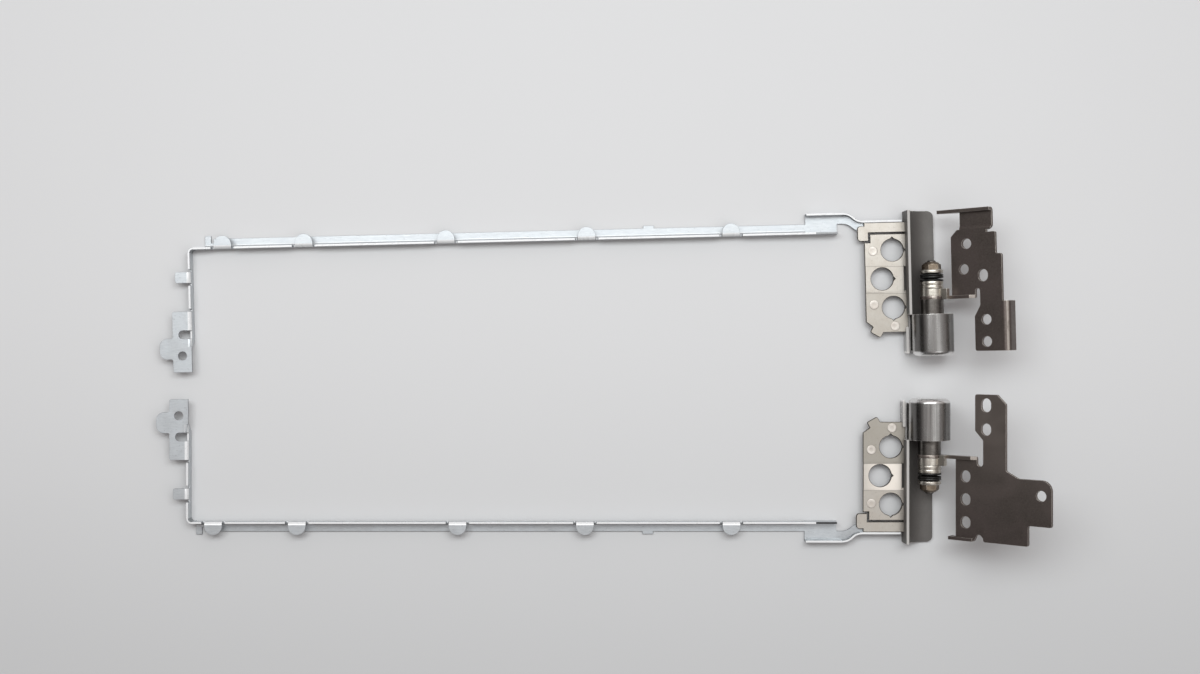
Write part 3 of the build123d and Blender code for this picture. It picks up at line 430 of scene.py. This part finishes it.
def castingFinish(name, s):
    material, tree, shader, coords = startMaterial(name, s)
    fromMiddle = mathNode(tree, "ABSOLUTE", axes(tree, coords)["Y"])
    barrel = remap(tree, fromMiddle, (s["shoulder"] + s["blend"]) * mm, (s["shoulder"] - s["blend"]) * mm)
    streaks = placeGroup(tree, grainGroup, stretched(tree, coords, s["streakStretch"]),
                         Scale=s["streakScale"], Contrast=s["streakContrast"])
    satin = placeGroup(tree, grainGroup, stretched(tree, coords, s["satinStretch"]),
                       Scale=s["satinScale"], Contrast=s["satinContrast"])
    marks = placeGroup(tree, handlingGroup, coords, Size=s["stainSize"], Specks=s["speckSize"])
    wear = placeGroup(tree, wearGroup, coords, Edge=faceMask(tree, "edge"), Amount=s["wear"])
    polished = mixColours(tree, streaks.outputs["Tone"], s["polishDark"], s["polishLight"])
    across = faceMask(tree, "across")
    aside = mathNode(tree, "ABSOLUTE", across)
    # the barrel's sides painted darker, a painted shade
    polished = mixColours(tree, remap(tree, aside, s["flankFrom"], s["flankTo"]), polished, s["paintedFlankShade"])
    # a lighter, duller band beside the wall, painted light for a lit surface the shape lacks
    web = remap(tree, across, s["webFrom"], s["webTo"])
    polished = mixColours(tree, web, polished, s["web"])
    dull = mixColours(tree, satin.outputs["Tone"], s["satinDark"], s["satinLight"])
    colour = mixColours(tree, barrel, dull, polished)
    # the barrel's inner end painted near white, a painted highlight
    paintedEndHighlight = remap(tree, fromMiddle, s["endFrom"] * mm, s["endTo"] * mm)
    colour = mixColours(tree, paintedEndHighlight, colour, s["endHighlight"])
    stain = mathNode(tree, "MULTIPLY", marks.outputs["Stain"], s["stainDepth"])
    colour = mixColours(tree, stain, colour, s["satinDark"])
    # worn edges, and the painted highlight on the rims on top of the wall and the lip
    colour = mixColours(tree, wear.outputs["Mask"], colour, s["bareAndSheen"])
    metal = remap(tree, barrel, 0.0, 1.0, s["satinMetal"], 1.0)
    metal = mathNode(tree, "MULTIPLY", metal, remap(tree, web, 0.0, 1.0, 1.0, s["webMetal"]))
    link(tree, metal, shader.inputs["Metallic"])
    roughness = remap(tree, barrel, 0.0, 1.0, s["satinRough"], s["polishRough"])
    spread = mathNode(tree, "MULTIPLY", marks.outputs["Stain"], s["roughSpread"])
    roughness = mathNode(tree, "ADD", roughness, spread, clamp=True)
    height = newNode(tree, "ShaderNodeMix", data_type="FLOAT")
    link(tree, barrel, height.inputs[0])
    link(tree, satin.outputs["Height"], height.inputs[2])
    link(tree, streaks.outputs["Height"], height.inputs[3])
    finishShader(tree, shader, colour, roughness, height.outputs[0], s["bump"], s["bumpDepth"])
    return material


darkNickel = castingFinish("darkNickel", castingLook)
print("materials ready:", len(bpy.data.materials))


# What counts as one point (m), one plane (degrees) and a sharp edge (degrees), and the room a rounding needs
meshSet = {"merge": 2e-6, "flat": 0.4, "sharp": 32.0, "room": 2.2}


# A CAD node's shape with rounded edges: a merged copy, bevelled, that stands for the node
def roundedCopy(nodeName, s):
    bm = bmesh.new()
    bm.from_mesh(nodes[nodeName].data)
    edge = bm.faces.layers.float.new("edge")
    cut = bm.faces.layers.float.new("cut")
    bmesh.ops.remove_doubles(bm, verts=bm.verts, dist=meshSet["merge"])
    surface = BVHTree.FromBMesh(bm)
    bmesh.ops.dissolve_limit(bm, angle_limit=math.radians(meshSet["flat"]), verts=bm.verts, edges=bm.edges)
    markSheet(bm, edge, cut, s)
    limit = math.radians(meshSet["sharp"])
    corners = [e for e in bm.edges if takesRounding(e, s, limit)]
    width = s["round"] * mm
    made = bmesh.ops.bevel(bm, geom=corners, offset=width, offset_type="OFFSET", segments=2,
                           profile=0.5, affect="EDGES", clamp_overlap=False, loop_slide=True, material=-1)
    shadeCorners(made["faces"], edge, cut, s)
    for vert in bm.verts:  # a bevel at a very tight corner can overshoot, so it is pulled back
        nearest, normal, index, gap = surface.find_nearest(vert.co)
        if gap > width:
            vert.co = nearest
    for face in bm.faces:
        face.smooth = True
        face.material_index = 0
    for e in bm.edges:
        e.smooth = len(e.link_faces) != 2 or e.calc_face_angle(0.0) < limit
    mesh = bpy.data.meshes.new(nodeName + "_finish")
    bm.to_mesh(mesh)
    bm.free()
    mesh.materials.append(s["material"])
    return addPiece(mesh, nodeName)


# Whether an edge is rounded: outer corners with room for it on both sides and, on a casting, inner ones too
def takesRounding(edge, s, limit):
    if len(edge.link_faces) != 2 or edge.calc_face_angle() < limit:
        return False
    if not (edge.is_convex or s.get("innerCorners", False)):
        return False
    if min(vert.co.z for vert in edge.verts) < s.get("roundAbove", -1.0) * mm:
        return False
    depth = min(face.calc_area() for face in edge.link_faces) / edge.calc_length()
    return depth > meshSet["room"] * s["round"] * mm


# Marks the narrow faces of sheet metal: rims that face up and bends are rubbed bright, partly a painted highlight,
# and the side edges are cut faces painted dark, partly a painted shade
def markSheet(bm, edge, cut, s):
    if "sheet" not in s:
        return
    for face in bm.faces:
        if face.calc_area() / (face.calc_perimeter() / 2) > s["sheet"] * mm:
            continue
        if any(e.calc_face_angle(1.0) < 0.01 for e in face.edges):
            continue
        along = face.normal.z
        if along > 0.98:
            face[edge] = s["rimWearAndSheen"]
        elif abs(along) < 0.2:
            face[cut] = s["cutShade"]
        elif all(e.is_convex for e in face.edges):
            face[edge] = s["bendWearAndSheen"]


# Rounded corners are rubbed bright, apart from those along the cut edge of bright sheet, which are painted dark as
# shade along the edge
def shadeCorners(corners, edge, cut, s):
    rounds = set(corners)
    shade = s.get("cornerShade", 0.0)
    dark = {face for face in rounds for other in neighbours(face) if other not in rounds and other[cut] > 0.0}
    dark |= {face for face in rounds for other in neighbours(face) if other in dark}
    for face in rounds:
        onCut = shade > 0.0 and face in dark
        face[edge], face[cut] = (0.0, shade) if onCut else (1.0, 0.0)


def neighbours(face):
    return {other for e in face.edges for other in e.link_faces if other is not face}


bodyOf = {name: body for body, members in frame["record"]["behaviour"]["bodies"].items() for name in members}


def addPiece(mesh, nodeName):
    piece = bpy.data.objects.new(nodeName + "_finish", mesh)
    scene.collection.objects.link(piece)
    piece.modifiers.new("evenShading", "WEIGHTED_NORMAL").keep_sharp = True
    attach(piece, bodyOf[nodeName])
    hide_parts(nodeName)
    return piece


# Each piece's material, slot and edge rounding and, on sheet metal, its thickness and how its narrow faces look
pieceFinishes = {
    # on sheet metal, rims and bends rubbed bright are partly a painted highlight, and cut edges painted dark are
    # partly a painted shade
    "screen_rail": {"material": zincSheet, "slot": "rail_steel", "round": 0.06,
                    "sheet": 0.62, "rimWearAndSheen": 1.0, "bendWearAndSheen": 1.0, "cutShade": 0.7, "cornerShade": 0.9},
    "lid_plate": {"material": satinNickel, "slot": "plate_nickel", "round": 0.14,
                  "sheet": 1.02, "rimWearAndSheen": 0.0, "bendWearAndSheen": 0.0, "cutShade": 0.9, "cornerShade": 0.9},
    "barrel_cover": {"material": darkNickel, "slot": "cover_casting", "round": 0.10, "roundAbove": 2.2,
                     "innerCorners": True},
    "hinge_shaft": {"material": oiledSteel, "slot": "shaft_steel", "round": 0.06},
    "friction_ring": {"material": turnedNickel, "slot": "washer_steel", "round": 0.07},
    "end_washer": {"material": turnedNickel, "slot": "washer_steel", "round": 0.05},
    "lock_nut": {"material": bronzeOxide, "slot": "nut_steel", "round": 0.08},
    "tab_washer": {"material": turnedNickel, "slot": "washer_steel", "round": 0.10},
    "base_bracket": {"material": brownCoat, "slot": "bracket_steel", "round": 0.08,
                     "sheet": 1.02, "rimWearAndSheen": 0.6, "bendWearAndSheen": 0.0, "cutShade": 0.8},
}
coverSet = {"rimLow": 3.8, "rimHigh": 7.0, "rimWearAndSheen": 0.7}


# On the casting: rims on top of the wall and the lip, rubbed bare and partly a painted highlight, and how far each
# point is from the axis towards the bracket's side
def markCover(mesh, hinge, s):
    origin, outwards = hingeLine(hinge)
    across = outwards.cross(Vector((0.0, 0.0, 1.0))) / (castingLook["radius"] * mm)
    if across.x < 0.0:
        across.negate()
    edge = mesh.attributes["edge"].data
    for polygon in mesh.polygons:
        if polygon.normal.z > 0.95 and s["rimLow"] * mm < polygon.center.z < s["rimHigh"] * mm:
            edge[polygon.index].value = s["rimWearAndSheen"]
    distances = [(vert.co - origin).dot(across) for vert in mesh.vertices]
    mesh.attributes.new("across", "FLOAT", "POINT").data.foreach_set("value", distances)


# A hinge's axis: a point on it, and its direction away from the other hinge
def hingeLine(hinge):
    joint = next(j for j in frame["joints"] if j["name"] == hinge)
    sign = -1.0 if hinge.startswith("right") else 1.0
    return Vector(joint["pos_m"]), Vector(joint["axis"]).normalized() * sign


for hand in hands:
    for part, s in pieceFinishes.items():
        piece = roundedCopy(hand + "_" + part, s)
        print(piece.name, len(piece.data.polygons), "faces")
    markCover(bpy.data.meshes[hand + "_barrel_cover_finish"], hand + "_hinge", coverSet)


# Geometry Nodes helpers
def newTree(name, inputs):
    tree = bpy.data.node_groups.new(name, "GeometryNodeTree")
    tree.interface.new_socket("Geometry", in_out="INPUT", socket_type="NodeSocketGeometry")
    for label, kind, value in inputs:
        socket = tree.interface.new_socket(label, in_out="INPUT", socket_type=kind)
        if value is not None:
            socket.default_value = value
    tree.interface.new_socket("Geometry", in_out="OUTPUT", socket_type="NodeSocketGeometry")
    return tree, tree.nodes.new("NodeGroupInput").outputs, tree.nodes.new("NodeGroupOutput")


def finishTree(tree, geometry, material, out):
    solid = newNode(tree, "GeometryNodeRealizeInstances")
    link(tree, geometry, solid.inputs["Geometry"])
    painted = newNode(tree, "GeometryNodeSetMaterial")
    link(tree, solid.outputs["Geometry"], painted.inputs["Geometry"])
    link(tree, material, painted.inputs["Material"])
    link(tree, painted.outputs["Geometry"], out.inputs["Geometry"])


# Runs a tree on a carrier mesh and keeps the result as a plain mesh
def bakeTree(tree, carrier, values, meshName):
    holder = bpy.data.objects.new(meshName + "Holder", carrier)
    scene.collection.objects.link(holder)
    modifier = holder.modifiers.new("tree", "NODES")
    modifier.node_group = tree
    for item in tree.interface.items_tree:
        if item.in_out == "INPUT" and item.name in values:
            modifier[item.identifier] = values[item.name]
    evaluated = holder.evaluated_get(bpy.context.evaluated_depsgraph_get())
    mesh = bpy.data.meshes.new_from_object(evaluated)
    mesh.name = meshName
    holder.modifiers.remove(modifier)
    bpy.data.objects.remove(holder)
    for polygon in mesh.polygons:
        polygon.use_smooth = True
    return mesh


def combine(tree, x=None, y=None, z=None):
    node = newNode(tree, "ShaderNodeCombineXYZ")
    for socket, value in zip(node.inputs, (x, y, z)):
        if value is not None:
            link(tree, value, socket)
    return node.outputs[0]


# Coned spring washers, every second one turned over, stacked along Z from 0
springSet = {
    "count": 3, "inner": 1.66, "outer": 3.4, "thickness": 0.5, "cone": 0.27, "rimRound": 0.12, "segments": 72,
}


def makeSpringTree():
    tree, given, out = newTree("springStack", [
        ("Count", "NodeSocketInt", 3), ("Inner Radius", floatSocket, 0.0017), ("Outer Radius", floatSocket, 0.0034),
        ("Thickness", floatSocket, 0.0005), ("Cone", floatSocket, 0.00027), ("Rim Round", floatSocket, 0.0001),
        ("Segments", "NodeSocketInt", 72), ("Material", "NodeSocketMaterial", None)])
    width = mathNode(tree, "SUBTRACT", given["Outer Radius"], given["Inner Radius"])
    middle = mathNode(tree, "MULTIPLY", mathNode(tree, "ADD", given["Outer Radius"], given["Inner Radius"]), 0.5)
    slope = mathNode(tree, "ARCTANGENT", mathNode(tree, "DIVIDE", given["Cone"], width))
    pitch = mathNode(tree, "ADD", given["Thickness"], given["Cone"])
    profile = newNode(tree, "GeometryNodeCurvePrimitiveQuadrilateral")
    link(tree, width, profile.inputs["Width"])
    link(tree, given["Thickness"], profile.inputs["Height"])
    softened = newNode(tree, "GeometryNodeFilletCurve", mode="POLY")
    link(tree, profile.outputs["Curve"], softened.inputs["Curve"])
    link(tree, given["Rim Round"], softened.inputs["Radius"])
    softened.inputs["Count"].default_value = 3
    tilted = newNode(tree, "GeometryNodeTransform")
    link(tree, softened.outputs["Curve"], tilted.inputs["Geometry"])
    link(tree, combine(tree, z=slope), tilted.inputs["Rotation"])
    circle = newNode(tree, "GeometryNodeCurvePrimitiveCircle")
    link(tree, given["Segments"], circle.inputs["Resolution"])
    link(tree, middle, circle.inputs["Radius"])
    ring = newNode(tree, "GeometryNodeCurveToMesh")
    link(tree, circle.outputs["Curve"], ring.inputs["Curve"])
    link(tree, tilted.outputs["Geometry"], ring.inputs["Profile Curve"])
    row = newNode(tree, "GeometryNodeMeshLine")
    link(tree, given["Count"], row.inputs["Count"])
    link(tree, combine(tree, z=mathNode(tree, "MULTIPLY", pitch, 0.5)), row.inputs["Start Location"])
    link(tree, combine(tree, z=pitch), row.inputs["Offset"])
    turn = mathNode(tree, "MODULO", newNode(tree, "GeometryNodeInputIndex").outputs[0], 2.0)
    stack = newNode(tree, "GeometryNodeInstanceOnPoints")
    link(tree, row.outputs["Mesh"], stack.inputs["Points"])
    link(tree, ring.outputs["Mesh"], stack.inputs["Instance"])
    link(tree, combine(tree, x=mathNode(tree, "MULTIPLY", turn, math.pi)), stack.inputs["Rotation"])
    finishTree(tree, stack.outputs["Instances"], given["Material"], out)
    return tree


# Where a node starts along its hinge axis, and the frame that puts Z on that axis
def axisFrame(nodeName, hinge):
    origin, outwards = hingeLine(hinge)
    start = min((v.co - origin).dot(outwards) for v in nodes[nodeName].data.vertices)
    turned = outwards.to_track_quat("Z", "X").to_matrix().to_4x4()
    return Matrix.Translation(origin + outwards * start) @ turned


springTree = makeSpringTree()
for hand in hands:
    nodeName = hand + "_disc_springs"
    mesh = bakeTree(springTree, bpy.data.meshes.new("springCarrier"), {
        "Count": springSet["count"], "Inner Radius": springSet["inner"] * mm, "Outer Radius": springSet["outer"] * mm,
        "Thickness": springSet["thickness"] * mm, "Cone": springSet["cone"] * mm,
        "Rim Round": springSet["rimRound"] * mm, "Segments": springSet["segments"], "Material": blackOxide,
    }, nodeName + "_finish")
    mesh.transform(axisFrame(nodeName, hand + "_hinge"))
    piece = addPiece(mesh, nodeName)
    print(piece.name, len(mesh.polygons), "faces")


# Rivets: one turned shape with an upset ring, set at each place by its tree
rivetSet = {
    "profile": [(0.0, -0.012), (0.42, -0.01), (0.62, 0.0), (0.82, 0.008), (1.1, 0.01), (1.32, 0.002), (1.41, -0.03),
                (0.9, -0.52), (0.9, -2.4), (1.34, -2.4), (1.4, -2.46), (1.4, -2.72), (1.3, -2.8), (0.0, -2.8)],
    "ring": (0.6, 1.36), "segments": 40,
}


def makeRivetShape(s):
    bm = bmesh.new()
    edge = bm.faces.layers.float.new("edge")
    chain = [bm.verts.new((r * mm, 0.0, z * mm)) for r, z in s["profile"]]
    line = [bm.edges.new(pair) for pair in zip(chain, chain[1:])]
    bmesh.ops.spin(bm, geom=chain + line, cent=(0, 0, 0), axis=(0, 0, 1), angle=math.tau, steps=s["segments"],
                   use_merge=True)
    bmesh.ops.remove_doubles(bm, verts=bm.verts, dist=1e-6)
    bmesh.ops.recalc_face_normals(bm, faces=bm.faces)
    for face in bm.faces:
        middle = face.calc_center_median()
        radius = math.hypot(middle.x, middle.y) / mm
        face[edge] = 1.0 if s["ring"][0] < radius < s["ring"][1] and middle.z > -0.1 * mm else 0.0
    mesh = bpy.data.meshes.new("rivetShape")
    bm.to_mesh(mesh)
    bm.free()
    shape = bpy.data.objects.new("rivetShape", mesh)
    scene.collection.objects.link(shape)
    return shape


def makeRivetTree():
    tree, given, out = newTree("rivetSetting", [
        ("Rivet", "NodeSocketObject", None), ("Material", "NodeSocketMaterial", None)])
    shape = newNode(tree, "GeometryNodeObjectInfo")
    link(tree, given["Rivet"], shape.inputs["Object"])
    placed = newNode(tree, "GeometryNodeInstanceOnPoints")
    link(tree, given["Geometry"], placed.inputs["Points"])
    link(tree, shape.outputs["Geometry"], placed.inputs["Instance"])
    finishTree(tree, placed.outputs["Instances"], given["Material"], out)
    return tree


# Top centre of each separate solid in a node
def solidTops(nodeName):
    bm = bmesh.new()
    bm.from_mesh(nodes[nodeName].data)
    bmesh.ops.remove_doubles(bm, verts=bm.verts, dist=meshSet["merge"])
    tops, left = [], set(bm.verts)
    while left:
        found, queue = [], [left.pop()]
        while queue:
            vert = queue.pop()
            found.append(vert.co.copy())
            for other in (e.other_vert(vert) for e in vert.link_edges):
                if other in left:
                    left.remove(other)
                    queue.append(other)
        low = Vector([min(co[i] for co in found) for i in range(3)])
        high = Vector([max(co[i] for co in found) for i in range(3)])
        tops.append(((low.x + high.x) / 2, (low.y + high.y) / 2, high.z))
    bm.free()
    return tops


rivetTree, rivetShape = makeRivetTree(), makeRivetShape(rivetSet)
for hand in hands:
    nodeName = hand + "_plate_rivets"
    carrier = bpy.data.meshes.new("rivetPlaces")
    carrier.from_pydata(solidTops(nodeName), [], [])
    mesh = bakeTree(rivetTree, carrier, {"Rivet": rivetShape, "Material": rivetNickel}, nodeName + "_finish")
    piece = addPiece(mesh, nodeName)
    print(piece.name, len(mesh.polygons), "faces")
bpy.data.objects.remove(rivetShape)


# Pale table, painted darker towards the near side as painted shade, a soft lamp above the far side, a dim one to the
# right, and a room that is darker near and left
stageSet = {
    "floorSize": 4.0, "floorColour": (0.70, 0.70, 0.705), "floorPaintedShade": (0.575, 0.58, 0.585),
    "paintedShadeFrom": 40.0, "paintedShadeTo": -140.0, "floorRough": 0.75, "floorGloss": 0.2,
    "cloudColour": (0.60, 0.59, 0.59), "cloudScale": 30.0, "cloudDepth": 0.06,
    "lampPlace": (-20.0, 195.0, 500.0), "lampSize": (640.0, 190.0), "lampPower": 2.0,
    "sidePlace": (260.0, -100.0, 430.0), "sideSize": (300.0, 300.0), "sidePower": 0.20,
    "zenith": 0.62, "horizon": 0.18, "farGlow": 0.25, "nearGlow": -0.35, "leftGlow": -0.25,
    "darkest": 0.06, "lampTint": (0.965, 1.012, 1.025), "roomTint": (1.045, 0.98, 0.965),
}


def makeStage(s):
    bm = bmesh.new()
    half = s["floorSize"] / 2
    corners = [bm.verts.new((x * half, y * half, 0.0)) for x, y in ((-1, -1), (1, -1), (1, 1), (-1, 1))]
    bm.faces.new(corners)
    mesh = bpy.data.meshes.new("paleTable")
    bm.to_mesh(mesh)
    bm.free()
    floor = bpy.data.objects.new("paleTable", mesh)
    scene.collection.objects.link(floor)
    material, tree, shader, coords = startMaterial("paleCard", {"metallic": 0.0})
    shader.inputs["Roughness"].default_value = s["floorRough"]
    shader.inputs["Specular IOR Level"].default_value = s["floorGloss"]
    # painted shade: the table darkens towards the near side, as the light falls off
    paintedFalloff = remap(tree, axes(tree, coords)["Y"], s["paintedShadeFrom"] * mm, s["paintedShadeTo"] * mm)
    cloud = noiseNode(tree, coords, s["cloudScale"], detail=2.0)
    soft = mathNode(tree, "MULTIPLY", cloud.outputs["Fac"], s["cloudDepth"])
    colour = mixColours(tree, paintedFalloff, s["floorColour"], s["floorPaintedShade"])
    colour = mixColours(tree, soft, colour, s["cloudColour"])
    link(tree, colour, shader.inputs["Base Color"])
    mesh.materials.append(material)


def makeLamp(name, place, size, power, tint):
    data = bpy.data.lights.new(name, "AREA")
    data.shape = "RECTANGLE"
    data.size, data.size_y = size[0] * mm, size[1] * mm
    data.energy = power
    data.color = tint
    lamp = bpy.data.objects.new(name, data)
    lamp.location = [value * mm for value in place]
    lamp.rotation_euler = (-lamp.location).to_track_quat("-Z", "Y").to_euler()
    scene.collection.objects.link(lamp)


def makeRoom(s):
    world = bpy.data.worlds.new("plainRoom")
    world.use_nodes = True
    tree = world.node_tree
    background = tree.nodes["Background"]
    coords = newNode(tree, "ShaderNodeTexCoord").outputs["Generated"]
    direction = axes(tree, coords)
    level = remap(tree, direction["Z"], 0.0, 1.0, s["horizon"], s["zenith"])
    sides = ("Y", 1.0, s["farGlow"]), ("Y", -1.0, s["nearGlow"]), ("X", -1.0, s["leftGlow"])
    for axis, sign, strength in sides:
        towards = mathNode(tree, "MAXIMUM", mathNode(tree, "MULTIPLY", direction[axis], sign), 0.0)
        level = mathNode(tree, "ADD", level, mathNode(tree, "MULTIPLY", towards, strength))
    level = mathNode(tree, "MAXIMUM", level, s["darkest"])
    tinted = newNode(tree, "ShaderNodeCombineColor")
    for socket, tint in zip(tinted.inputs, s["roomTint"]):
        link(tree, mathNode(tree, "MULTIPLY", level, tint), socket)
    link(tree, tinted.outputs[0], background.inputs["Color"])
    scene.world = world


makeStage(stageSet)
for name, kind in (("farSoftbox", "lamp"), ("sideSoftbox", "side")):
    place, size, power = (stageSet[kind + word] for word in ("Place", "Size", "Power"))
    makeLamp(name, place, size, power, stageSet["lampTint"])
makeRoom(stageSet)
print("stage ready")
